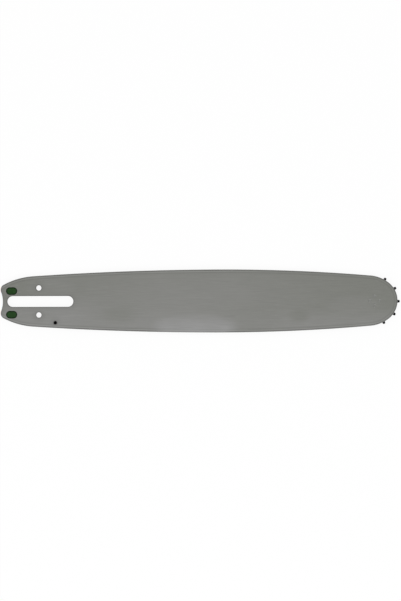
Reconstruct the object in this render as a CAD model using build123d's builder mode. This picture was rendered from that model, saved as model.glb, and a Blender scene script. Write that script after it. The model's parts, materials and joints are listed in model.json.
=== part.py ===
from build123d import *

import os
from math import asin, atan2, cos, degrees, floor, hypot, pi, sin, sqrt

# A laminated chainsaw guide bar with a sprocket nose, lying flat, in millimetres and degrees.
# The origin is the middle of the stud slot on the lower face. X runs along the bar to the nose,
# Y across it from rail to rail, and Z up through its thickness.

# Plates
side_plate_thickness = 1.5
core_thickness = 1.65
rail_chamfer = 0.4
groove_depth = 8.0
core_corner_radius = 1.0

# Stud slot and chain adjuster holes
slot_length = 73.4
slot_width = 12.0
adjuster_hole_diameter = 6.0
adjuster_hole_spacing = 30.0
adjuster_hole_reach = -1.7

# Tail: a hollow end between two rounded corners, and flanks that swing out to the rails
tail_web = 4.9
notch_radius = 30.0
tail_corner_radius = 6.2
flank_radius = 80.0
hip_reach = -8.1
hip_taper = 7.0

# Rails and nose: the rails bulge to their widest point, then close in to the nose shoulders
widest_reach = 201.7
belly = 7.06
shoulder_setback = 4.6
shoulder_rise = 2.54
nose_radius = 25.4
sprocket_reach = 371.2

# Oil inlet: one in each side plate, into the chain groove beside the core plate
oil_hole_diameter = 3.7
oil_hole_reach = 16.6
oil_hole_margin = 0.25

# Nose sprocket
tooth_count = 11
tooth_standout = 2.6
tooth_depth = 9.2
tooth_tip_width = 2.5
tooth_tip_chamfer = 0.5
first_tooth_turn = -1.7
gullet_radius = 4.2
sprocket_side_clearance = 0.1
sprocket_pocket_clearance = 1.0
gullet_overcut = 5.0

# Rivets and bearing
rivet_count = 4
rivet_circle_radius = 5.4
rivet_diameter = 3.4
rivet_clearance = 0.03
hub_wall = 1.2
roller_diameter = 3.4
roller_spacing = 0.06
bearing_clearance = 0.04

# Green marks, inlaid in the upper face at both sides of the slot's tail end
mark_length = 12.5
mark_width = 8.5
mark_depth = 0.25
mark_clearance = 0.03
mark_setback = 4.9
mark_gap_upper = 1.35
mark_gap_lower = 4.35

# Levels through the thickness
bar_thickness = 2 * side_plate_thickness + core_thickness
upper_face = Plane.XY.offset(bar_thickness)
lower_face = Plane(origin=(0, 0, 0), x_dir=(1, 0, 0), z_dir=(0, 0, -1))
core_floor = Plane.XY.offset(side_plate_thickness)
sprocket_thickness = core_thickness - 2 * sprocket_side_clearance

# Places along the bar
slot_end_x = -slot_length / 2
notch_x = slot_end_x - tail_web
notch_centre_x = notch_x - notch_radius
shoulder_x = sprocket_reach - shoulder_setback
nose_tip_x = sprocket_reach + nose_radius

# Half widths
shoulder_half_width = nose_radius + shoulder_rise
widest_half_width = shoulder_half_width + belly


def crown_radius(run, drop):
    """The radius of an arc that starts level and falls by drop over run."""
    return (run**2 + drop**2) / (2 * drop)


# Rail arcs: each is tangent to the next
front_run = shoulder_x - widest_reach
front_radius = crown_radius(front_run, belly)
front_turn = asin(front_run / front_radius)
rear_run = widest_reach - hip_reach
rear_radius = crown_radius(rear_run, hip_taper)
rear_turn = asin(rear_run / rear_radius)

# The shoulder arc leaves the front arc at the shoulder and runs into the nose arc from outside it
shoulder_distance = hypot(shoulder_setback, shoulder_half_width)
shoulder_height = shoulder_half_width * cos(front_turn) - shoulder_setback * sin(front_turn)
shoulder_radius = (shoulder_distance**2 - nose_radius**2) / (2 * (shoulder_height - nose_radius))
shoulder_centre_x = shoulder_x - shoulder_radius * sin(front_turn)
shoulder_centre_y = shoulder_half_width - shoulder_radius * cos(front_turn)
nose_start_turn = atan2(sprocket_reach - shoulder_centre_x, -shoulder_centre_y)
shoulder_turn = nose_start_turn - front_turn

# The oil hole clears the core plate by its margin
oil_hole_radius = oil_hole_diameter / 2
oil_rail_drop = rear_radius - sqrt(rear_radius**2 - (widest_reach - oil_hole_reach) ** 2)
oil_hole_inset = groove_depth - oil_hole_margin - oil_hole_radius
oil_hole_y = oil_hole_inset + oil_rail_drop - widest_half_width

# Bearing, from the rivets outwards
rivet_radius = rivet_diameter / 2
rivet_hole_radius = rivet_radius + rivet_clearance
hub_radius = rivet_circle_radius + rivet_radius + hub_wall
roller_radius = roller_diameter / 2
roller_orbit_radius = hub_radius + bearing_clearance + roller_radius
sprocket_bore_radius = roller_orbit_radius + roller_radius + bearing_clearance
roller_count = floor(pi / asin((roller_diameter + roller_spacing) / 2 / roller_orbit_radius))

# Sprocket teeth, which stand out of the nose
tooth_tip_radius = nose_radius + tooth_standout
root_radius = tooth_tip_radius - tooth_depth
sprocket_pocket_radius = tooth_tip_radius + sprocket_pocket_clearance
half_pitch = 180 / tooth_count

# Planes at the nose axis
hub_floor = Plane(origin=(sprocket_reach, 0, side_plate_thickness))
sprocket_floor = hub_floor.offset(sprocket_side_clearance)

# Marks
mark_x = slot_end_x + mark_setback
mark_places = {
    "green_mark_upper": (mark_x, slot_width / 2 + mark_gap_upper + mark_width / 2),
    "green_mark_lower": (mark_x, -slot_width / 2 - mark_gap_lower - mark_width / 2),
}

os.makedirs("parts", exist_ok=True)

# The rails' outline, closed to a point behind the tail
with BuildSketch() as rail_outline:
    with BuildLine():
        crown = (widest_reach, widest_half_width)
        front = JernArc(crown, (1, 0), front_radius, -degrees(front_turn))
        shoulder = JernArc(front @ 1, front % 1, shoulder_radius, -degrees(shoulder_turn))
        TangentArc(shoulder @ 1, (nose_tip_x, 0), tangent=shoulder % 1)
        rear = JernArc(crown, (-1, 0), rear_radius, degrees(rear_turn))
        JernArc(rear @ 1, rear % 1, flank_radius, Axis.X)
        mirror(about=Plane.XZ)
    make_face()

# The plates' outline, with its hollow tail and rounded tail corners
with BuildSketch() as plate_outline:
    add(rail_outline.sketch)
    with Locations((notch_centre_x, 0)):
        Circle(notch_radius, mode=Mode.SUBTRACT)
    fillet(plate_outline.vertices().sort_by(Axis.X)[:2], tail_corner_radius)

# The openings that pass through all three plates
with BuildSketch() as through_openings:
    SlotOverall(slot_length, slot_width)
    with Locations((adjuster_hole_reach, 0)):
        with GridLocations(0, adjuster_hole_spacing, 1, 2):
            Circle(adjuster_hole_diameter / 2)


def side_plate(face):
    """A side plate with its outer face on the given plane, and its oil inlet towards that plane's -Y."""
    with BuildPart() as plate:
        with BuildSketch(face):
            add(plate_outline.sketch)
        extrude(amount=-side_plate_thickness)
        outer_face = plate.faces().sort_by(Axis((0, 0, 0), face.z_dir))[-1]
        chamfer(outer_face.edges(), rail_chamfer)
        with BuildSketch(face):
            add(through_openings.sketch)
            with Locations((oil_hole_reach, oil_hole_y)):
                Circle(oil_hole_radius)
            with Locations((sprocket_reach, 0)):
                with PolarLocations(rivet_circle_radius, rivet_count):
                    Circle(rivet_hole_radius)
        extrude(amount=-side_plate_thickness, mode=Mode.SUBTRACT)
    return plate.part


# Upper side plate, with shallow pockets for the green marks
with BuildPart() as side_plate_top:
    add(side_plate(upper_face))
    with BuildSketch(upper_face):
        with Locations(*mark_places.values()):
            SlotOverall(mark_length, mark_width)
    extrude(amount=-mark_depth, mode=Mode.SUBTRACT)
side_plate_top.part.label = "side_plate_top"
export_step(side_plate_top.part, "parts/side_plate_top.step")

# Lower side plate, the same plate turned over
with BuildPart() as side_plate_bottom:
    add(side_plate(lower_face))
side_plate_bottom.part.label = "side_plate_bottom"
export_step(side_plate_bottom.part, "parts/side_plate_bottom.step")

# Core plate: set back from the rails by the groove, and hollowed at the nose to clear the sprocket
with BuildPart() as core_plate:
    with BuildSketch(core_floor) as core_outline:
        add(rail_outline.sketch)
        offset(amount=-groove_depth)
        with Locations((notch_centre_x, 0)):
            Circle(notch_radius, mode=Mode.SUBTRACT)
        with Locations((sprocket_reach, 0)):
            Circle(sprocket_pocket_radius, mode=Mode.SUBTRACT)
        by_reach = core_outline.vertices().sort_by(Axis.X)
        fillet(by_reach[:2] + by_reach[-2:], core_corner_radius)
        add(through_openings.sketch, mode=Mode.SUBTRACT)
    extrude(amount=core_thickness)
core_plate.part.label = "core_plate"
export_step(core_plate.part, "parts/core_plate.step")

# One gullet between two teeth, along +X from the sprocket's axis, open past the tooth tips
with BuildSketch() as gullet:
    with BuildLine():
        tip_angle = half_pitch - degrees(asin(tooth_tip_width / 2 / tooth_tip_radius))
        tip = Vector(tooth_tip_radius, 0).rotate(Axis.Z, tip_angle)
        beyond = tip.normalized() * (tooth_tip_radius + gullet_overcut)
        floor_centre = (root_radius + gullet_radius, 0)
        floor_circle = CenterArc(floor_centre, gullet_radius, 0, 360, mode=Mode.PRIVATE)
        flank = ConstrainedLines(floor_circle, tip, selector=lambda lines: lines.sort_by(Axis.Y)[-1])
        flank_foot = flank.vertices().sort_by_distance(tip)[-1]
        RadiusArc(flank_foot, (root_radius, 0), -gullet_radius)
        Polyline(tip, beyond, (beyond.X, 0))
        mirror(about=Plane.XZ)
    make_face()


def from_axis(vertex):
    """The distance of a sketch vertex from the sketch's origin, to group the tooth tips."""
    return round(hypot(vertex.X, vertex.Y), 3)


# The sprocket's outline, with its first gullet along +X
with BuildSketch() as star:
    Circle(tooth_tip_radius)
    with PolarLocations(0, tooth_count):
        add(gullet.sketch, mode=Mode.SUBTRACT)
    chamfer(star.vertices().group_by(from_axis)[-1], tooth_tip_chamfer)
    Circle(sprocket_bore_radius, mode=Mode.SUBTRACT)

# Nose sprocket, at rest with its first tooth turned a little from straight ahead
with BuildPart() as nose_sprocket:
    with BuildSketch(sprocket_floor.rotated((0, 0, half_pitch + first_tooth_turn))):
        add(star.sketch)
    extrude(amount=sprocket_thickness)
nose_sprocket.part.label = "nose_sprocket"
export_step(nose_sprocket.part, "parts/nose_sprocket.step")

# Bearing hub, clamped between the side plates
with BuildPart() as bearing_hub:
    with BuildSketch(hub_floor):
        Circle(hub_radius)
        with PolarLocations(rivet_circle_radius, rivet_count):
            Circle(rivet_hole_radius, mode=Mode.SUBTRACT)
    extrude(amount=core_thickness)
bearing_hub.part.label = "bearing_hub"
export_step(bearing_hub.part, "parts/bearing_hub.step")

# Bearing rollers, all round the hub
for number in range(1, roller_count + 1):
    with BuildPart() as bearing_roller:
        with BuildSketch(sprocket_floor):
            with PolarLocations(roller_orbit_radius, 1, start_angle=360 * number / roller_count):
                Circle(roller_radius)
        extrude(amount=sprocket_thickness)
    bearing_roller.part.label = f"bearing_roller_{number:02d}"
    export_step(bearing_roller.part, f"parts/bearing_roller_{number:02d}.step")

# Nose rivets, through both side plates and the hub, ground flush with both faces
with BuildPart() as nose_rivets:
    with BuildSketch():
        with Locations((sprocket_reach, 0)):
            with PolarLocations(rivet_circle_radius, rivet_count):
                Circle(rivet_radius)
    extrude(amount=bar_thickness)
nose_rivets.part.label = "nose_rivets"
export_step(nose_rivets.part, "parts/nose_rivets.step")

# Green marks, each flush with the upper face in its pocket
for name, place in mark_places.items():
    with BuildPart() as green_mark:
        with BuildSketch(upper_face):
            with Locations(place):
                SlotOverall(mark_length - 2 * mark_clearance, mark_width - 2 * mark_clearance)
        extrude(amount=-mark_depth)
    green_mark.part.label = name
    export_step(green_mark.part, f"parts/{name}.step")
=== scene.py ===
import json
from math import asin, atan2, cos, hypot, radians, sin

import bpy
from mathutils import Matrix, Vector, kdtree

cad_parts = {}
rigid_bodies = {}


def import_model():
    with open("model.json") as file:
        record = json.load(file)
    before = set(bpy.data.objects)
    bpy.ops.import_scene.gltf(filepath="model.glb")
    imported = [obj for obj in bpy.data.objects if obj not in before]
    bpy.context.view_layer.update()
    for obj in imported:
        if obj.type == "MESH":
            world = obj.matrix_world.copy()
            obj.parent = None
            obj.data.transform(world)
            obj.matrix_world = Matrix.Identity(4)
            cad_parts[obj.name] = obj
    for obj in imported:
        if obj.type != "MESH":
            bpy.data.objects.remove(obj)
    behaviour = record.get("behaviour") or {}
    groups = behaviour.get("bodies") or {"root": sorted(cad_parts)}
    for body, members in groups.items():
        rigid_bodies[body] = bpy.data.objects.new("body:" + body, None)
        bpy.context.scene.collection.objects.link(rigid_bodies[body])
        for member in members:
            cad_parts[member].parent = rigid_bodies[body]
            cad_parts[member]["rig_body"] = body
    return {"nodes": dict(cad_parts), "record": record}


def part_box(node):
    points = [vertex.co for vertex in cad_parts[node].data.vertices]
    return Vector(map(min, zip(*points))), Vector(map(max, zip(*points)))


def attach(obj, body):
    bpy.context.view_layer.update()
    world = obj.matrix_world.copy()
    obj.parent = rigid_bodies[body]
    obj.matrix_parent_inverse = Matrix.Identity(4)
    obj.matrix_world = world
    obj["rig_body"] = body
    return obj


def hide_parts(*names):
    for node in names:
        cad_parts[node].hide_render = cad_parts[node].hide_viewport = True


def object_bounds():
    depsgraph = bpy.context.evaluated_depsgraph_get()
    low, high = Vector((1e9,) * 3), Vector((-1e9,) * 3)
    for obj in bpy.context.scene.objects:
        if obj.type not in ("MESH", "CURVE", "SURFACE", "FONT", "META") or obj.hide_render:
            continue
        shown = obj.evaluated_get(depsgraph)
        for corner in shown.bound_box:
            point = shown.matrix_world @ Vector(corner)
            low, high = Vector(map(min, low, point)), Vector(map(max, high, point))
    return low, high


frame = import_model()
cad_low, cad_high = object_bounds()

# Sizes in metres, in the frame's own axes: X to the nose, Y across the bar, Z up
MM = 0.001
bar_low, bar_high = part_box("side_plate_top")
upper_face_z = bar_high.z
core_low, core_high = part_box("core_plate")
middle_z = (core_low.z + core_high.z) / 2
groove_half_width = (core_high.z - core_low.z) / 2

# Edges and outlines of the flat pieces
weld_distance = 0.001 * MM
plate_edge_round = 0.12 * MM
sprocket_edge_round = 0.1 * MM
tooth_corner_round = 0.35 * MM
edge_segments = 2
corner_segments = 3
outline_halvings = 2
four_point_weight = 1 / 16
flat_angle = radians(0.05)
sharpest_curve = radians(25)
sharp_edge = radians(30)
smooth_angle = radians(35)
flat_face_weight = 100

# The Z of a unit normal: more than the first on a level face, less than the second on a wall
level_normal = 0.999
wall_normal = 0.5

# Rivets, with ends that are dished in steps, each with its share of the depth
rivet_count = 4
rivet_sides = 48
rivet_radius = 1.7 * MM
rivet_rim = 0.25 * MM
rivet_rim_round = 0.04 * MM
rivet_rim_angle = radians(50)
rivet_dish_depth = 0.34 * MM
rivet_dish_shares = (0.4, 0.35, 0.25)

# Enamel marks, which rise in steps to a low pillow: each step's width and its share of the rise
mark_sides = 64
mark_sink = 0.07 * MM
mark_steps = ((0.7 * MM, 0.55), (0.5 * MM, 0.3), (0.5 * MM, 0.15))
mark_smooth_angle = radians(50)

# The rails' outline, in arcs that each run on into the next
widest_reach = 201.7 * MM
hip_reach = -8.1 * MM
hip_taper = 7.0 * MM
flank_radius = 80.0 * MM
belly = 7.06 * MM
shoulder_setback = 4.6 * MM
shoulder_rise = 2.54 * MM
nose_radius = 25.4 * MM
hub_low, hub_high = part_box("bearing_hub")
sprocket_reach = (hub_low.x + hub_high.x) / 2

# The openings: the stud slot, the tail's hollow, and the round holes that the record gives
slot_length = 73.4 * MM
slot_width = 12.0 * MM
tail_web = 4.9 * MM
notch_radius = 30.0 * MM
round_holes = ("adjuster_hole_upper", "adjuster_hole_lower", "oil_inlet_top")
mounts = {mount["name"]: mount for mount in frame["record"]["mounts"]}

# The photograph: its size in pixels, what a pixel spans on the upper face,
# the slot's middle in pixels, and how far the bar is turned in the picture
image_width = 401
image_height = 601
pixel = 1.11 * MM
slot_middle_pixel = (40.27, 301.46)
bar_turn = radians(0.152)
camera_lens = 135.0
camera_sensor = 36.0


def select_only(piece):
    """Leave this piece alone selected and active, because operators act on all that is selected."""
    bpy.ops.object.select_all(action="DESELECT")
    piece.select_set(True)
    bpy.context.view_layer.objects.active = piece


def select_points(mesh, wanted):
    """In object mode, select the points whose place passes a test."""
    bpy.context.tool_settings.mesh_select_mode = (True, False, False)
    for part in (*mesh.edges, *mesh.polygons):
        part.select = False
    for point in mesh.vertices:
        point.select = wanted(point.co)


def select_edges(mesh, edges):
    """In object mode, select these edges alone."""
    bpy.context.tool_settings.mesh_select_mode = (False, True, False)
    for part in (*mesh.vertices, *mesh.edges, *mesh.polygons):
        part.select = False
    for edge in edges:
        edge.select = True


def select_faces(mesh, wanted):
    """In object mode, select the faces whose normal passes a test."""
    bpy.context.tool_settings.mesh_select_mode = (False, False, True)
    for part in (*mesh.vertices, *mesh.edges):
        part.select = False
    for face in mesh.polygons:
        face.select = wanted(face.normal)


# The pieces


def round_corners(mesh, width):
    """Round the upright corners where two walls of a flat piece meet sharply."""
    walls = {}
    for face in mesh.polygons:
        for key in face.edge_keys:
            walls.setdefault(key, []).append(face.normal)
    corners = []
    for edge in mesh.edges:
        first, second = walls[tuple(sorted(edge.vertices))]
        upright = max(abs(first.z), abs(second.z)) < wall_normal
        if upright and first.angle(second) > sharpest_curve:
            corners.append(edge)
    select_edges(mesh, corners)
    bpy.ops.object.mode_set(mode="EDIT")
    bpy.ops.mesh.bevel(offset=width, segments=corner_segments, affect="EDGES")
    bpy.ops.object.mode_set(mode="OBJECT")


def outline_edges(mesh):
    """The level edges of a flat piece's walls."""
    points = mesh.vertices
    walls = set()
    for face in mesh.polygons:
        if abs(face.normal.z) < level_normal:
            walls.update(face.edge_keys)
    level_edges = []
    for edge in mesh.edges:
        start, end = sorted(edge.vertices)
        climb = abs(points[start].co.z - points[end].co.z)
        if (start, end) in walls and climb < weld_distance:
            level_edges.append(edge)
    return level_edges


def curve_middle(before, start, end, after):
    """The middle of the step from start to end, set out as far as the steps beside it turn."""
    step = end - start
    turn = Vector((0, 0, 0))
    for beyond, corner, straight_on in ((before, start, -step), (after, end, step)):
        side = beyond - corner
        if side.angle(straight_on) < sharpest_curve:
            side *= min(1, step.length / side.length)
            turn += side - side.project(step)
    return (start + end) / 2 - turn * four_point_weight


def halve_steps(mesh):
    """Split each step of a flat piece's outlines in two, with the new point on the curve there.

    Subdividing gives the new points in an order of its own, so each is known by its place.
    """
    points = mesh.vertices
    steps = outline_edges(mesh)
    beside = {}
    for edge in steps:
        start, end = edge.vertices
        beside.setdefault(start, []).append(end)
        beside.setdefault(end, []).append(start)
    straight_middles = kdtree.KDTree(len(steps))
    curve_middles = []
    for number, edge in enumerate(steps):
        start, end = edge.vertices
        before = next(index for index in beside[start] if index != end)
        after = next(index for index in beside[end] if index != start)
        straight_middles.insert((points[start].co + points[end].co) / 2, number)
        curve_middles.append(curve_middle(*(points[index].co for index in (before, start, end, after))))
    straight_middles.balance()
    old_count = len(points)
    select_edges(mesh, steps)
    bpy.ops.object.mode_set(mode="EDIT")
    bpy.ops.mesh.subdivide(number_cuts=1)
    bpy.ops.object.mode_set(mode="OBJECT")
    for point in mesh.vertices[old_count:]:
        point.co = curve_middles[straight_middles.find(point.co)[1]]
        point.co.x = max(point.co.x, cad_low.x)


def dressed_copy(node_name, edge_round, corner_round=None):
    """A welded copy of a flat CAD node, with smooth outlines and rounded edges, in the node's place."""
    node = frame["nodes"][node_name]
    piece = bpy.data.objects.new(node_name + "_finished", node.data.copy())
    bpy.context.collection.objects.link(piece)
    select_only(piece)
    bpy.ops.object.mode_set(mode="EDIT")
    bpy.ops.mesh.select_all(action="SELECT")
    bpy.ops.mesh.remove_doubles(threshold=weld_distance)
    bpy.ops.mesh.dissolve_limited(angle_limit=flat_angle)
    bpy.ops.object.mode_set(mode="OBJECT")
    if corner_round:
        round_corners(piece.data, corner_round)
    for _ in range(outline_halvings):
        halve_steps(piece.data)
    bpy.ops.object.shade_smooth_by_angle(angle=smooth_angle)
    rounding = piece.modifiers.new("edge_rounding", "BEVEL")
    rounding.width = edge_round
    rounding.segments = edge_segments
    rounding.limit_method = "ANGLE"
    rounding.angle_limit = sharp_edge
    bpy.ops.object.modifier_apply(modifier=rounding.name)
    flatness = piece.modifiers.new("flat_faces", "WEIGHTED_NORMAL")
    flatness.weight = flat_face_weight
    flatness.keep_sharp = True
    bpy.ops.object.modifier_apply(modifier=flatness.name)
    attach(piece, node["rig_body"])
    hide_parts(node_name)
    return piece


def nose_rivets():
    """Four rivets, each turned from a cylinder whose ends are dished as a riveting punch leaves them."""
    low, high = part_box("nose_rivets")
    axis = (low + high) / 2
    circle_radius = (high.x - low.x) / 2 - rivet_radius
    dish_step = (rivet_radius - rivet_rim) / (len(rivet_dish_shares) + 1)
    bpy.ops.object.select_all(action="DESELECT")
    bpy.ops.mesh.primitive_cylinder_add(
        vertices=rivet_sides, radius=rivet_radius, depth=high.z - low.z, location=axis
    )
    rivet = bpy.context.object
    bpy.ops.object.transform_apply(location=True)
    select_faces(rivet.data, lambda normal: abs(normal.z) > level_normal)
    bpy.ops.object.mode_set(mode="EDIT")
    bpy.ops.mesh.inset(thickness=rivet_rim, use_individual=True)
    for share in rivet_dish_shares:
        bpy.ops.mesh.inset(thickness=dish_step, depth=-rivet_dish_depth * share, use_individual=True)
    bpy.ops.object.mode_set(mode="OBJECT")
    rounding = rivet.modifiers.new("rim_rounding", "BEVEL")
    rounding.width = rivet_rim_round
    rounding.segments = edge_segments
    rounding.limit_method = "ANGLE"
    rounding.angle_limit = rivet_rim_angle
    bpy.ops.object.modifier_apply(modifier=rounding.name)
    bpy.ops.object.shade_smooth_by_angle(angle=smooth_angle)
    rivets = []
    for number in range(rivet_count):
        angle = radians(360 * number / rivet_count)
        copy = rivet.copy()
        copy.data = rivet.data.copy()
        copy.name = f"nose_rivet_{number + 1}"
        bpy.context.collection.objects.link(copy)
        select_only(copy)
        copy.location = (circle_radius * cos(angle), circle_radius * sin(angle), 0)
        bpy.ops.object.transform_apply(location=True)
        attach(copy, "bar")
        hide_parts("nose_rivets")
        rivets.append(copy)
    bpy.data.objects.remove(rivet)
    return rivets


def green_mark(node_name):
    """An enamel mark: a cylinder drawn out to a round-ended bar, raised to just under the plate's face."""
    low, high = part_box(node_name)
    middle = (low + high) / 2
    end_radius = (high.y - low.y) / 2
    stretch = (high.x - low.x) / 2 - end_radius
    bpy.ops.object.select_all(action="DESELECT")
    bpy.ops.mesh.primitive_cylinder_add(
        vertices=mark_sides,
        radius=end_radius,
        depth=high.z - low.z - mark_sink,
        location=(middle.x, middle.y, middle.z - mark_sink / 2),
    )
    mark = bpy.context.object
    mark.name = node_name + "_enamel"
    bpy.ops.object.transform_apply(location=True)
    for side in (-1, 1):
        select_points(mark.data, lambda place: side * (place.x - middle.x) > weld_distance)
        bpy.ops.object.mode_set(mode="EDIT")
        bpy.ops.transform.translate(value=(side * stretch, 0, 0))
        bpy.ops.object.mode_set(mode="OBJECT")
    select_faces(mark.data, lambda normal: normal.z > level_normal)
    bpy.ops.object.mode_set(mode="EDIT")
    for width, share in mark_steps:
        bpy.ops.mesh.inset(thickness=width, depth=mark_sink * share)
    bpy.ops.object.mode_set(mode="OBJECT")
    bpy.ops.object.shade_smooth_by_angle(angle=mark_smooth_angle)
    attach(mark, "bar")
    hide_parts(node_name)
    return mark


# Shader nodes


def add_node(tree, kind, inputs=None, **settings):
    """A new node with its settings made and its inputs set, or linked where a socket is given."""
    node = tree.nodes.new(kind)
    for name, value in settings.items():
        setattr(node, name, value)
    for name, value in (inputs or {}).items():
        if isinstance(value, bpy.types.NodeSocket):
            tree.links.new(value, node.inputs[name])
        else:
            node.inputs[name].default_value = value
    return node


def object_coordinates(tree):
    return add_node(tree, "ShaderNodeTexCoord").outputs["Object"]


def calculate(tree, operation, first, second=0.0):
    """The result of a Math node. ABSOLUTE and SIGN take the first value alone."""
    return add_node(tree, "ShaderNodeMath", {0: first, 1: second}, operation=operation).outputs[0]


def flat_place(tree, x, y):
    """A place in the plane of the bar."""
    return add_node(tree, "ShaderNodeCombineXYZ", {"X": x, "Y": y}).outputs[0]


def length_between(tree, place, centre):
    """The distance of a place from a centre, both in the plane of the bar."""
    points = {0: place, 1: (*centre, 0)}
    return add_node(tree, "ShaderNodeVectorMath", points, operation="DISTANCE").outputs["Value"]


def blend_values(tree, share, first, second):
    """The first value, turning to the second where the share is 1."""
    return add_node(tree, "ShaderNodeMix", {"Factor": share, "A": first, "B": second}).outputs[0]


def blend_colours(tree, share, first, second):
    """The first colour, turning to the second where the share is 1."""
    node = add_node(tree, "ShaderNodeMix", {"Factor": share}, data_type="RGBA")
    for socket, value in ((node.inputs[6], first), (node.inputs[7], second)):
        if isinstance(value, bpy.types.NodeSocket):
            tree.links.new(value, socket)
        else:
            socket.default_value = value
    return node.outputs[2]


def spread(tree, value, low, high, new_low=0.0, new_high=1.0):
    """A value between low and high, eased to the new range and held there."""
    limits = {"Value": value, "From Min": low, "From Max": high, "To Min": new_low, "To Max": new_high}
    return add_node(tree, "ShaderNodeMapRange", limits, interpolation_type="SMOOTHSTEP").outputs[0]


def between(tree, share, least, most):
    """A share from 0 to 1, eased to a value from least to most."""
    return spread(tree, share, 0.0, 1.0, least, most)


def fading(tree, distance, full, gone, share):
    """A share that holds as far as one distance and is gone at another."""
    return spread(tree, distance, full, gone, share, 0.0)


def band(tree, distance, rise, fall, share=1.0):
    """A share that rises over one range of distances and falls away over another."""
    risen = spread(tree, distance, *rise, 0.0, share)
    return calculate(tree, "MULTIPLY", risen, spread(tree, distance, *fall, 1.0, 0.0))


def soft_patch(tree, centre, reach, core):
    """A soft oval on the bar's face: 1 within its core, a share of its reach, and 0 beyond its reach."""
    scale = (1 / reach[0], 1 / reach[1], 0)
    offset = (-centre[0] / reach[0], -centre[1] / reach[1], 0)
    mapping = {"Vector": object_coordinates(tree), "Location": offset, "Scale": scale}
    placed = add_node(tree, "ShaderNodeMapping", mapping).outputs[0]
    return fading(tree, length_between(tree, placed, (0, 0)), full=core, gone=1.0, share=1.0)


def noise(tree, place, scale, detail):
    inputs = {"Vector": place, "Scale": scale, "Detail": detail}
    return add_node(tree, "ShaderNodeTexNoise", inputs).outputs["Fac"]


def new_group(name, inputs, outputs):
    """An empty shader node group with float sockets, its given values, and its end node."""
    group = bpy.data.node_groups.new(name, "ShaderNodeTree")
    for label, value in inputs.items():
        socket = group.interface.new_socket(label, in_out="INPUT", socket_type="NodeSocketFloat")
        socket.default_value = value
    for label in outputs:
        group.interface.new_socket(label, in_out="OUTPUT", socket_type="NodeSocketFloat")
    return group, group.nodes.new("NodeGroupInput").outputs, group.nodes.new("NodeGroupOutput")


def use_group(tree, group, inputs=None):
    return add_node(tree, "ShaderNodeGroup", inputs, node_tree=group).outputs


# The part of a noise's range that its masks use: nearly all of it, or only the peaks for scratches
noise_range = (0.3, 0.7)
peak_range = (0.64, 0.76)
scratch_fineness = 2.5


def blasted_grain_group():
    """Fine pits from blasting, and the broad clouds that handling and oil leave on bare steel."""
    scales = {"Pit Scale": 2500.0, "Cloud Scale": 30.0}
    group, given, result = new_group("blasted_grain", scales, ("Pits", "Clouds"))
    place = object_coordinates(group)
    pits = noise(group, place, given["Pit Scale"], detail=4.0)
    clouds = noise(group, place, given["Cloud Scale"], detail=3.0)
    group.links.new(spread(group, pits, *noise_range), result.inputs["Pits"])
    group.links.new(spread(group, clouds, *noise_range), result.inputs["Clouds"])
    return group


def drawn_lines_group():
    """Broken lines from grinding: streaks that cover the surface, and a few thin scratches from handling.

    Along and Across shorten X and Y, so that the lines run the way that is shortened most.
    """
    scales = {"Scale": 900.0, "Along": 0.02, "Across": 1.0}
    group, given, result = new_group("drawn_lines", scales, ("Streaks", "Scratches"))
    shortening = {"X": given["Along"], "Y": given["Across"], "Z": 1.0}
    shortened = add_node(group, "ShaderNodeCombineXYZ", shortening).outputs[0]
    factors = {0: object_coordinates(group), 1: shortened}
    place = add_node(group, "ShaderNodeVectorMath", factors, operation="MULTIPLY").outputs[0]
    fine_scale = calculate(group, "MULTIPLY", given["Scale"], scratch_fineness)
    streaks = noise(group, place, given["Scale"], detail=2.0)
    scratches = noise(group, place, fine_scale, detail=2.0)
    group.links.new(spread(group, streaks, *noise_range), result.inputs["Streaks"])
    group.links.new(spread(group, scratches, *peak_range), result.inputs["Scratches"])
    return group


def surface_tilt_group():
    """How far a surface leans away from level: 0 on a flat face, 1 on a wall."""
    group, _, result = new_group("surface_tilt", {}, ("Tilt",))
    normal = add_node(group, "ShaderNodeTexCoord").outputs["Normal"]
    height = add_node(group, "ShaderNodeSeparateXYZ", {"Vector": normal}).outputs["Z"]
    level_share = calculate(group, "ABSOLUTE", height)
    group.links.new(calculate(group, "SUBTRACT", 1.0, level_share), result.inputs["Tilt"])
    return group


blasted_grain = blasted_grain_group()
drawn_lines = drawn_lines_group()
surface_tilt = surface_tilt_group()


def rail_arcs():
    """Each arc of the upper rail, from the tail to the nose: its start in X, its centre and its radius."""
    half_width = bar_high.y
    rear_run = widest_reach - hip_reach
    rear_radius = (rear_run**2 + hip_taper**2) / (2 * hip_taper)
    rear_turn = asin(rear_run / rear_radius)
    shoulder_x = sprocket_reach - shoulder_setback
    shoulder_y = nose_radius + shoulder_rise
    front_run = shoulder_x - widest_reach
    front_radius = (front_run**2 + belly**2) / (2 * belly)
    front_turn = asin(front_run / front_radius)
    shoulder_distance = hypot(shoulder_setback, shoulder_y)
    shoulder_height = shoulder_y * cos(front_turn) - shoulder_setback * sin(front_turn)
    shoulder_radius = (shoulder_distance**2 - nose_radius**2) / (2 * (shoulder_height - nose_radius))
    flank_centre = (
        hip_reach + flank_radius * sin(rear_turn),
        half_width - hip_taper - flank_radius * cos(rear_turn),
    )
    shoulder_centre = (
        shoulder_x - shoulder_radius * sin(front_turn),
        shoulder_y - shoulder_radius * cos(front_turn),
    )
    nose_turn = atan2(sprocket_reach - shoulder_centre[0], -shoulder_centre[1])
    return (
        (bar_low.x, flank_centre, flank_radius),
        (hip_reach, (widest_reach, half_width - rear_radius), rear_radius),
        (widest_reach, (widest_reach, half_width - front_radius), front_radius),
        (shoulder_x, shoulder_centre, shoulder_radius),
        (sprocket_reach + nose_radius * sin(nose_turn), (sprocket_reach, 0), nose_radius),
    )


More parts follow.
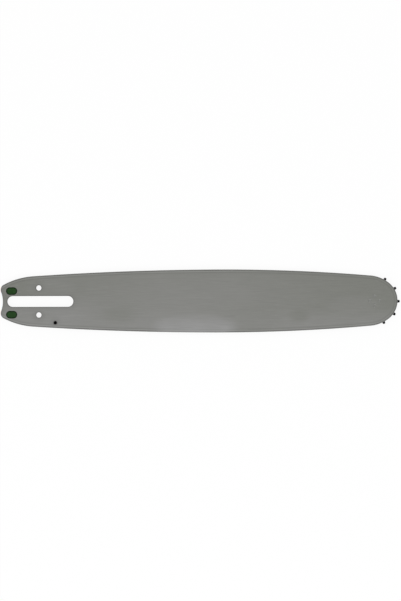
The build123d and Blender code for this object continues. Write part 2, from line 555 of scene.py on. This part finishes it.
def rail_distance(tree, place):
    """How far a point lies inside the rails, from the arcs of their outline."""
    spot = flat_place(tree, place["X"], calculate(tree, "ABSOLUTE", place["Y"]))
    nearest = None
    for start_x, centre, radius in rail_arcs():
        inside = calculate(tree, "SUBTRACT", radius, length_between(tree, spot, centre))
        if nearest is None:
            nearest = inside
        else:
            past_start = calculate(tree, "GREATER_THAN", place["X"], start_x)
            nearest = blend_values(tree, past_start, nearest, inside)
    return nearest


def opening_distance(tree, place):
    """How far a point lies from the slot, the holes and the tail's hollow.

    The lower plate is the upper one turned over, so Y changes sides below the middle.
    """
    way_up = calculate(tree, "SIGN", calculate(tree, "SUBTRACT", place["Z"], middle_z))
    across = calculate(tree, "MULTIPLY", place["Y"], way_up)
    slot_run = (slot_length - slot_width) / 2
    limits = {"Value": place["X"], "Min": -slot_run, "Max": slot_run}
    along_slot = add_node(tree, "ShaderNodeClamp", limits).outputs[0]
    from_slot = flat_place(tree, calculate(tree, "SUBTRACT", place["X"], along_slot), across)
    nearest = calculate(tree, "SUBTRACT", length_between(tree, from_slot, (0, 0)), slot_width / 2)
    spot = flat_place(tree, place["X"], across)
    circles = [((-slot_length / 2 - tail_web - notch_radius, 0), notch_radius)]
    for name in round_holes:
        circles.append((mounts[name]["pos_m"][:2], mounts[name]["dims"]["r_mm"] * MM))
    for centre, radius in circles:
        outside = calculate(tree, "SUBTRACT", length_between(tree, spot, centre), radius)
        nearest = calculate(tree, "MINIMUM", nearest, outside)
    return nearest


# Materials


def new_material(name, metallic, specular):
    material = bpy.data.materials.new(name)
    material.use_nodes = True
    shader = material.node_tree.nodes["Principled BSDF"]
    shader.inputs["Metallic"].default_value = metallic
    shader.inputs["Specular IOR Level"].default_value = specular
    return material, material.node_tree, shader


def raise_surface(tree, shader, height, strength, depth):
    inputs = {"Height": height, "Strength": strength, "Distance": depth}
    bump = add_node(tree, "ShaderNodeBump", inputs)
    tree.links.new(bump.outputs["Normal"], shader.inputs["Normal"])


# Colours of the plates' steel
oiled_grey = (0.202, 0.206, 0.188, 1.0)
bare_grey = (0.236, 0.237, 0.226, 1.0)
lit_grey = (0.25, 0.25, 0.242, 1.0)
pale_grey = (0.306, 0.306, 0.305, 1.0)
streak_grey = (0.17, 0.172, 0.163, 1.0)
scratch_grey = (0.3, 0.3, 0.296, 1.0)
shade_and_tint_grey = (0.1, 0.1, 0.096, 1.0)
bright_grey = (0.33, 0.33, 0.325, 1.0)
groove_shade_black = (0.01, 0.01, 0.01, 1.0)

# Places on the plates where the oil film is thin, and smears where more is left: centre, reach and share
thin_places = (
    ((16 * MM, 15 * MM), (42 * MM, 22 * MM), 0.55),
    ((344 * MM, -4.5 * MM), (45 * MM, 15 * MM), 0.5),
)
oil_smears = (
    ((-11 * MM, -16.5 * MM), (40 * MM, 13 * MM), 0.22),
    ((88 * MM, -15.5 * MM), (27 * MM, 13 * MM), 0.5),
    ((237 * MM, -22 * MM), (53 * MM, 29 * MM), 0.33),
    ((287 * MM, -16 * MM), (17 * MM, 12 * MM), 0.7),
)


def pale_patch(tree, place, clouds):
    """A pale soft patch on the upper plate, strongest towards the lower rail."""
    pale_share = soft_patch(tree, centre=(172 * MM, -28 * MM), reach=(54 * MM, 17 * MM), core=0.6)
    towards_rail = spread(tree, place["Y"], low=-10 * MM, high=-34 * MM, new_low=0.1)
    upper_plate = calculate(tree, "GREATER_THAN", place["Z"], middle_z)
    for share in (between(tree, clouds, least=0.75, most=1.0), towards_rail, upper_plate):
        pale_share = calculate(tree, "MULTIPLY", pale_share, share)
    return pale_share


def film_colour(tree, place, clouds, pale_share):
    """Oiled steel, with a film that is thin along the bar and thicker where it is smeared.

    It is lighter towards the lower rail and at the tail, which is painted light from the key lamp's side,
    and paler in one patch.
    """
    thin = soft_patch(tree, centre=(165 * MM, 0), reach=(230 * MM, 70 * MM), core=0.0)
    thin = calculate(tree, "MULTIPLY", thin, between(tree, clouds, least=0.85, most=1.0))
    for centre, reach, share in thin_places:
        thin_place = calculate(tree, "MULTIPLY", soft_patch(tree, centre, reach, core=0.3), share)
        thin = calculate(tree, "MAXIMUM", thin, thin_place)
    # Painted light: lighter towards the lower rail and at the lower tail, on the key lamp's side
    lit_tail = soft_patch(tree, centre=(5 * MM, -20 * MM), reach=(100 * MM, 35 * MM), core=0.2)
    lit_towards_lower_rail = spread(tree, place["Y"], low=-4 * MM, high=-26 * MM, new_high=0.75)
    lit_towards_lower_rail = calculate(tree, "MAXIMUM", lit_towards_lower_rail, lit_tail)
    colour = blend_colours(tree, thin, oiled_grey, bare_grey)
    colour = blend_colours(tree, lit_towards_lower_rail, colour, lit_grey)
    for centre, reach, share in oil_smears:
        smear = calculate(tree, "MULTIPLY", soft_patch(tree, centre, reach, core=0.2), share)
        colour = blend_colours(tree, smear, colour, oiled_grey)
    return blend_colours(tree, pale_share, colour, pale_grey)


def edge_bands(tree, colour, place, ragged, pale_share):
    """A bright band inside the rails, painted shade along the rails' edges and round the openings' edges, a
    tint band inside the rails, and a faint darkening near the openings.

    The dark ones are fainter within the pale patch.
    """
    from_rail = calculate(tree, "ADD", rail_distance(tree, place), ragged)
    from_opening = calculate(tree, "ADD", opening_distance(tree, place), ragged)
    bright = band(tree, from_rail, rise=(1.4 * MM, 1.8 * MM), fall=(2.4 * MM, 2.9 * MM))
    bright_share = spread(tree, place["X"], low=190 * MM, high=270 * MM, new_low=0.18, new_high=0.04)
    bright = calculate(tree, "MULTIPLY", bright, bright_share)
    colour = blend_colours(tree, bright, colour, bright_grey)
    # Painted shade along the rails' edges and round the openings' edges, with a tint band inside the rails
    shade_and_tint = fading(tree, from_rail, full=1.2 * MM, gone=1.65 * MM, share=0.64)
    rail_tint = band(tree, from_rail, rise=(2.7 * MM, 3.1 * MM), fall=(3.3 * MM, 4.9 * MM), share=0.22)
    opening_edge_shade = fading(tree, from_opening, full=0.5 * MM, gone=1.5 * MM, share=0.62)
    opening_darkening = fading(tree, from_opening, full=0.5 * MM, gone=7.0 * MM, share=0.13)
    for other in (rail_tint, opening_edge_shade, opening_darkening):
        shade_and_tint = calculate(tree, "MAXIMUM", shade_and_tint, other)
    fainter_in_pale_patch = spread(tree, pale_share, low=0.0, high=1.0, new_low=1.0, new_high=0.4)
    shade_and_tint = calculate(tree, "MULTIPLY", shade_and_tint, fainter_in_pale_patch)
    return blend_colours(tree, shade_and_tint, colour, shade_and_tint_grey)


def satin_steel():
    """Satin-ground plate: an oil film with painted light towards the lower rail, fine lines along the bar,
    painted shade along the edges, worn edges brightened by a painted highlight, and scale on the inner side
    painted near black as shade.
    """
    streak_share = 0.12
    scratch_share = 0.25
    band_raggedness = 0.3 * MM
    inner_side_margin = 0.05 * MM
    wall_polish = 0.14
    scale_roughness = 0.3
    pit_share = 0.5
    material, tree, shader = new_material("satin_steel", metallic=1.0, specular=0.5)
    grain = use_group(tree, blasted_grain, {"Pit Scale": 7000.0, "Cloud Scale": 25.0})
    broad = use_group(tree, drawn_lines, {"Scale": 420.0, "Along": 0.06})
    fine = use_group(tree, drawn_lines, {"Scale": 5000.0, "Along": 0.012})
    round_rail = use_group(tree, drawn_lines, {"Scale": 6000.0, "Along": 0.01, "Across": 0.01})
    tilt = use_group(tree, surface_tilt)["Tilt"]
    place = add_node(tree, "ShaderNodeSeparateXYZ", {"Vector": object_coordinates(tree)}).outputs
    edge = spread(tree, tilt, low=0.12, high=0.28)
    wall = spread(tree, tilt, low=0.6, high=0.9)
    off_middle = calculate(tree, "ABSOLUTE", calculate(tree, "SUBTRACT", place["Z"], middle_z))
    inner_side = calculate(tree, "LESS_THAN", off_middle, groove_half_width + inner_side_margin)

    pale_share = pale_patch(tree, place, grain["Clouds"])
    colour = film_colour(tree, place, grain["Clouds"], pale_share)
    streaks = calculate(tree, "MULTIPLY", broad["Streaks"], streak_share)
    colour = blend_colours(tree, streaks, colour, streak_grey)
    scratches = calculate(tree, "MULTIPLY", broad["Scratches"], scratch_share)
    colour = blend_colours(tree, scratches, colour, scratch_grey)
    ragged = calculate(tree, "MULTIPLY", broad["Streaks"], band_raggedness)
    colour = edge_bands(tree, colour, place, ragged, pale_share)
    # Walls and rounded edges in bare ground steel; the chamfers' brightness is rubbed wear and a painted
    # highlight
    bare_and_highlight_steel = blend_colours(tree, round_rail["Streaks"], bare_grey, bright_grey)
    colour = blend_colours(tree, edge, colour, bare_and_highlight_steel)
    # Painted shade: the inner faces in the groove, scale darkened to near black
    colour = blend_colours(tree, inner_side, colour, groove_shade_black)
    tree.links.new(colour, shader.inputs["Base Color"])

    roughness = between(tree, fine["Streaks"], least=0.46, most=0.6)
    polish = calculate(tree, "MULTIPLY", wall, wall_polish)
    roughness = calculate(tree, "SUBTRACT", roughness, polish)
    scale = calculate(tree, "MULTIPLY", inner_side, scale_roughness)
    tree.links.new(calculate(tree, "ADD", roughness, scale), shader.inputs["Roughness"])

    pits = calculate(tree, "MULTIPLY", grain["Pits"], pit_share)
    face_lines = calculate(tree, "ADD", fine["Streaks"], pits)
    lines = blend_values(tree, wall, face_lines, round_rail["Streaks"])
    raise_surface(tree, shader, lines, strength=0.25, depth=0.02 * MM)
    return material


def mill_scale():
    """The middle plate: dark mill scale with rust-brown clouds."""
    scale_black = (0.02, 0.02, 0.02, 1.0)
    scale_brown = (0.05, 0.044, 0.04, 1.0)
    material, tree, shader = new_material("mill_scale", metallic=0.6, specular=0.4)
    grain = use_group(tree, blasted_grain, {"Pit Scale": 1500.0, "Cloud Scale": 120.0})
    colour = blend_colours(tree, grain["Clouds"], scale_black, scale_brown)
    roughness = between(tree, grain["Clouds"], least=0.5, most=0.75)
    tree.links.new(colour, shader.inputs["Base Color"])
    tree.links.new(roughness, shader.inputs["Roughness"])
    raise_surface(tree, shader, grain["Pits"], strength=0.2, depth=0.03 * MM)
    return material


def black_oxide():
    """Black oxide, thin on the rounded edges, where grey steel begins to show."""
    oxide_black = (0.003, 0.003, 0.0035, 1.0)
    oxide_worn = (0.014, 0.014, 0.015, 1.0)
    material, tree, shader = new_material("black_oxide", metallic=0.0, specular=0.08)
    grain = use_group(tree, blasted_grain, {"Pit Scale": 3000.0, "Cloud Scale": 200.0})
    tilt = use_group(tree, surface_tilt)["Tilt"]
    off_face = spread(tree, tilt, low=0.02, high=0.3)
    off_wall = spread(tree, tilt, low=0.6, high=0.98, new_low=1.0, new_high=0.2)
    edge = calculate(tree, "MULTIPLY", off_face, off_wall)
    worn = calculate(tree, "MULTIPLY", edge, grain["Clouds"])
    colour = blend_colours(tree, worn, oxide_black, oxide_worn)
    roughness = between(tree, grain["Clouds"], least=0.42, most=0.58)
    tree.links.new(colour, shader.inputs["Base Color"])
    tree.links.new(roughness, shader.inputs["Roughness"])
    raise_surface(tree, shader, grain["Pits"], strength=0.1, depth=0.02 * MM)
    return material


def ground_steel():
    """Ground bearing steel with a thin, uneven film of grease."""
    ground_bright = (0.46, 0.46, 0.45, 1.0)
    grease_tint = (0.36, 0.33, 0.26, 1.0)
    grease_share = 0.7
    material, tree, shader = new_material("ground_steel", metallic=1.0, specular=0.5)
    grain = use_group(tree, blasted_grain, {"Pit Scale": 4000.0, "Cloud Scale": 400.0})
    lines = use_group(tree, drawn_lines, {"Scale": 1200.0, "Along": 0.1, "Across": 0.1})
    grease = calculate(tree, "MULTIPLY", grain["Clouds"], grease_share)
    colour = blend_colours(tree, grease, ground_bright, grease_tint)
    roughness = between(tree, grain["Clouds"], least=0.18, most=0.34)
    tree.links.new(colour, shader.inputs["Base Color"])
    tree.links.new(roughness, shader.inputs["Roughness"])
    raise_surface(tree, shader, lines["Scratches"], strength=0.08, depth=0.01 * MM)
    return material


def punched_steel():
    """Rivet ends: a little brighter than the plates as a painted highlight, with a dark line where the rim
    meets its hole.
    """
    # A little brighter than the plates: a painted highlight on the rivet ends
    ground_highlight_grey = (0.212, 0.214, 0.203, 1.0)
    rim_dark = (0.2, 0.2, 0.19, 1.0)
    material, tree, shader = new_material("punched_steel", metallic=1.0, specular=0.5)
    grain = use_group(tree, blasted_grain, {"Pit Scale": 2500.0, "Cloud Scale": 300.0})
    tilt = use_group(tree, surface_tilt)["Tilt"]
    rim = spread(tree, tilt, low=0.05, high=0.3)
    colour = blend_colours(tree, rim, ground_highlight_grey, rim_dark)
    roughness = between(tree, grain["Clouds"], least=0.45, most=0.58)
    tree.links.new(colour, shader.inputs["Base Color"])
    tree.links.new(roughness, shader.inputs["Roughness"])
    raise_surface(tree, shader, grain["Pits"], strength=0.1, depth=0.03 * MM)
    return material


def green_enamel():
    """Dark green enamel, clouded over the middle of each mark and darkest on its sloping rim, where shade is
    painted.
    """
    rim_shade_green = (0.002, 0.012, 0.0015, 1.0)
    deep_green = (0.01, 0.04, 0.007, 1.0)
    pale_green = (0.015, 0.05, 0.011, 1.0)
    material, tree, shader = new_material("green_enamel", metallic=0.0, specular=0.12)
    grain = use_group(tree, blasted_grain, {"Pit Scale": 1200.0, "Cloud Scale": 260.0})
    tilt = use_group(tree, surface_tilt)["Tilt"]
    # Painted shade: the sloping rim of each mark darkened by its tilt
    rim = spread(tree, tilt, low=0.0, high=0.0012)
    colour = blend_colours(tree, grain["Clouds"], deep_green, pale_green)
    colour = blend_colours(tree, rim, colour, rim_shade_green)
    roughness = between(tree, grain["Clouds"], least=0.3, most=0.45)
    tree.links.new(colour, shader.inputs["Base Color"])
    tree.links.new(roughness, shader.inputs["Roughness"])
    raise_surface(tree, shader, grain["Pits"], strength=0.05, depth=0.02 * MM)
    return material


def finish_piece(piece, material):
    """Give a piece its material."""
    piece.data.materials.clear()
    piece.data.materials.append(material)


# The stage


def seen_directly(tree):
    """1 for the camera and for what metal or glass reflects or lets through, 0 for light on its way."""
    path = add_node(tree, "ShaderNodeLightPath").outputs
    seen = calculate(tree, "MAXIMUM", path["Is Camera Ray"], path["Is Glossy Ray"])
    return calculate(tree, "MAXIMUM", seen, path["Is Transmission Ray"])


def white_floor():
    """A white floor under the bar, which glows enough to look white and keeps a faint shadow."""
    floor_size = 8.0
    floor_gap = 0.05 * MM
    floor_glow = 0.9
    floor_white = (0.95, 0.95, 0.95, 1.0)
    bpy.ops.object.select_all(action="DESELECT")
    middle = (cad_low + cad_high) / 2
    bpy.ops.mesh.primitive_plane_add(size=floor_size, location=(middle.x, middle.y, cad_low.z - floor_gap))
    floor = bpy.context.object
    floor.name = "studio_floor"
    material = bpy.data.materials.new("studio_floor")
    material.use_nodes = True
    tree = material.node_tree
    tree.nodes.clear()
    matte = add_node(tree, "ShaderNodeBsdfDiffuse", {"Color": floor_white}).outputs[0]
    glow = add_node(tree, "ShaderNodeEmission", {"Strength": 1.0}).outputs[0]
    share = calculate(tree, "MULTIPLY", seen_directly(tree), floor_glow)
    surface = add_node(tree, "ShaderNodeMixShader", {0: share, 1: matte, 2: glow}).outputs[0]
    add_node(tree, "ShaderNodeOutputMaterial", {"Surface": surface})
    floor.data.materials.append(material)


def studio_light():
    """An even white room, and two large soft lamps, the stronger one on the side of the lower rail."""
    room_white = (1.0, 1.0, 1.0, 1.0)
    room_light = 0.84
    lamp_size = 1.4
    key_place = Vector((0.1, -1.5, 1.6))
    key_power = 10.0
    fill_place = Vector((0.3, 1.5, 1.7))
    fill_power = 3.0
    world = bpy.data.worlds.new("studio")
    bpy.context.scene.world = world
    world.use_nodes = True
    tree = world.node_tree
    tree.nodes.clear()
    level = between(tree, seen_directly(tree), least=room_light, most=1.0)
    room = add_node(tree, "ShaderNodeBackground", {"Color": room_white, "Strength": level}).outputs[0]
    add_node(tree, "ShaderNodeOutputWorld", {"Surface": room})
    target = (cad_low + cad_high) / 2
    for name, place, power in (("key_lamp", key_place, key_power), ("fill_lamp", fill_place, fill_power)):
        light = bpy.data.lights.new(name, "AREA")
        light.size = lamp_size
        light.energy = power
        lamp = bpy.data.objects.new(name, light)
        lamp.location = place
        lamp.rotation_euler = (target - place).to_track_quat("-Z", "Y").to_euler()
        lamp.visible_camera = False
        bpy.context.collection.objects.link(lamp)


def photo_camera():
    """A camera straight above the bar, with the photograph's scale, place and turn."""
    across = (image_width / 2 - slot_middle_pixel[0]) * pixel
    up = (slot_middle_pixel[1] - image_height / 2) * pixel
    x = across * cos(bar_turn) + up * sin(bar_turn)
    y = up * cos(bar_turn) - across * sin(bar_turn)
    distance = image_height * pixel * camera_lens / camera_sensor
    data = bpy.data.cameras.new("photo_camera")
    data.lens = camera_lens
    data.sensor_width = camera_sensor
    camera = bpy.data.objects.new("photo_camera", data)
    camera.location = (x, y, upper_face_z + distance)
    camera.rotation_euler = (0, 0, -bar_turn)
    bpy.context.collection.objects.link(camera)
    bpy.context.scene.camera = camera


plate_finish = satin_steel()
for plate_node in ("side_plate_top", "side_plate_bottom"):
    finish_piece(dressed_copy(plate_node, plate_edge_round), plate_finish)
sprocket_piece = dressed_copy("nose_sprocket", sprocket_edge_round, tooth_corner_round)
finish_piece(sprocket_piece, black_oxide())
rivet_finish = punched_steel()
for rivet in nose_rivets():
    finish_piece(rivet, rivet_finish)
enamel = green_enamel()
for mark_node in ("green_mark_upper", "green_mark_lower"):
    finish_piece(green_mark(mark_node), enamel)
finish_piece(dressed_copy("core_plate", plate_edge_round), mill_scale())
bearing_finish = ground_steel()
for node_name, node in frame["nodes"].items():
    if node_name.startswith("bearing"):
        finish_piece(node, bearing_finish)

white_floor()
studio_light()
photo_camera()
bpy.context.scene.view_settings.view_transform = "Standard"
